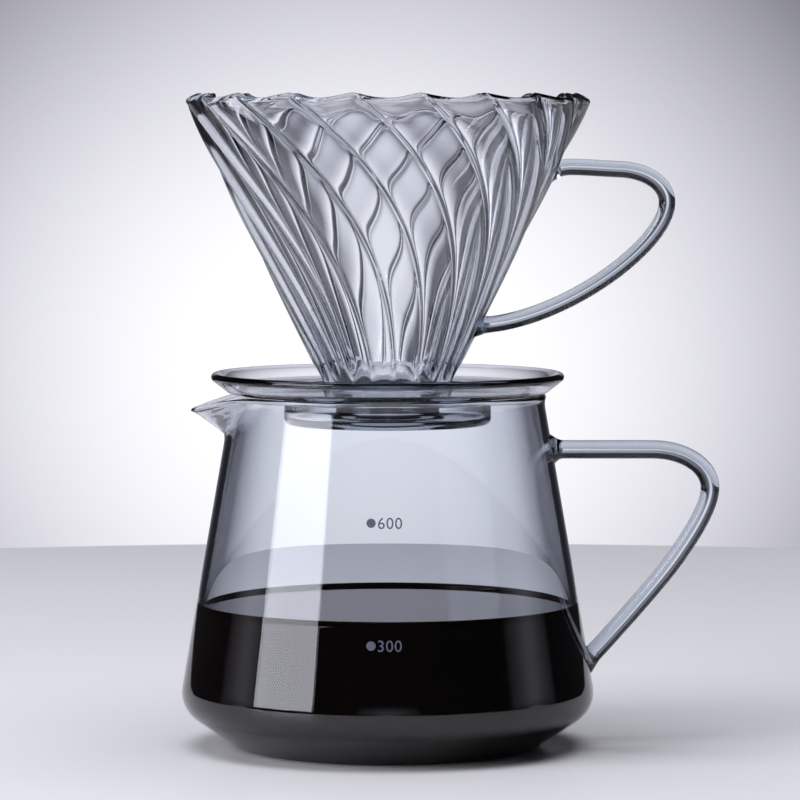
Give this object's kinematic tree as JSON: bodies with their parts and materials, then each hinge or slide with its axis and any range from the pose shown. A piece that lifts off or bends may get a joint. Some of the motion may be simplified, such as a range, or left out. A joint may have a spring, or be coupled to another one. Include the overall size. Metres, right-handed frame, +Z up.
{
  "type": "pour over dripper",
  "caption": "Fluted smoked-glass pour-over dripper with a saucer and rod handle, seated on its matching glass range server with spout, rod handle and coffee inside.",
  "frame": {"origin": "centre of the server's flat foot, on the table", "axes": "+Z up along the common axis of both vessels, both handles towards +X, spout towards -X, volume marks facing -Y"},
  "size_m": [0.1568, 0.1202, 0.1903],
  "materials": {
    "smoked_glass": "clear smoke-grey borosilicate glass, fire-polished",
    "mark_enamel": "fired-on grey enamel print",
    "coffee": "still black coffee with a glossy surface"
  },
  "bodies": {
    "server": {"server_body": "smoked_glass", "server_handle": "smoked_glass", "server_handle_top_weld": "smoked_glass", "server_handle_bottom_weld": "smoked_glass", "mark_600": "mark_enamel", "mark_300": "mark_enamel", "coffee": "coffee"},
    "dripper": {"cone_shell": "smoked_glass", "foot_weld": "smoked_glass", "stepped_saucer": "smoked_glass", "dripper_handle": "smoked_glass", "dripper_handle_top_weld": "smoked_glass", "dripper_handle_bottom_weld": "smoked_glass"}
  },
  "joints": [
    {"name": "dripper_lift", "type": "slide", "parent": "server", "child": "dripper", "axis": [0, 0, 1], "range_m": [0, 0.12]}
  ]
}
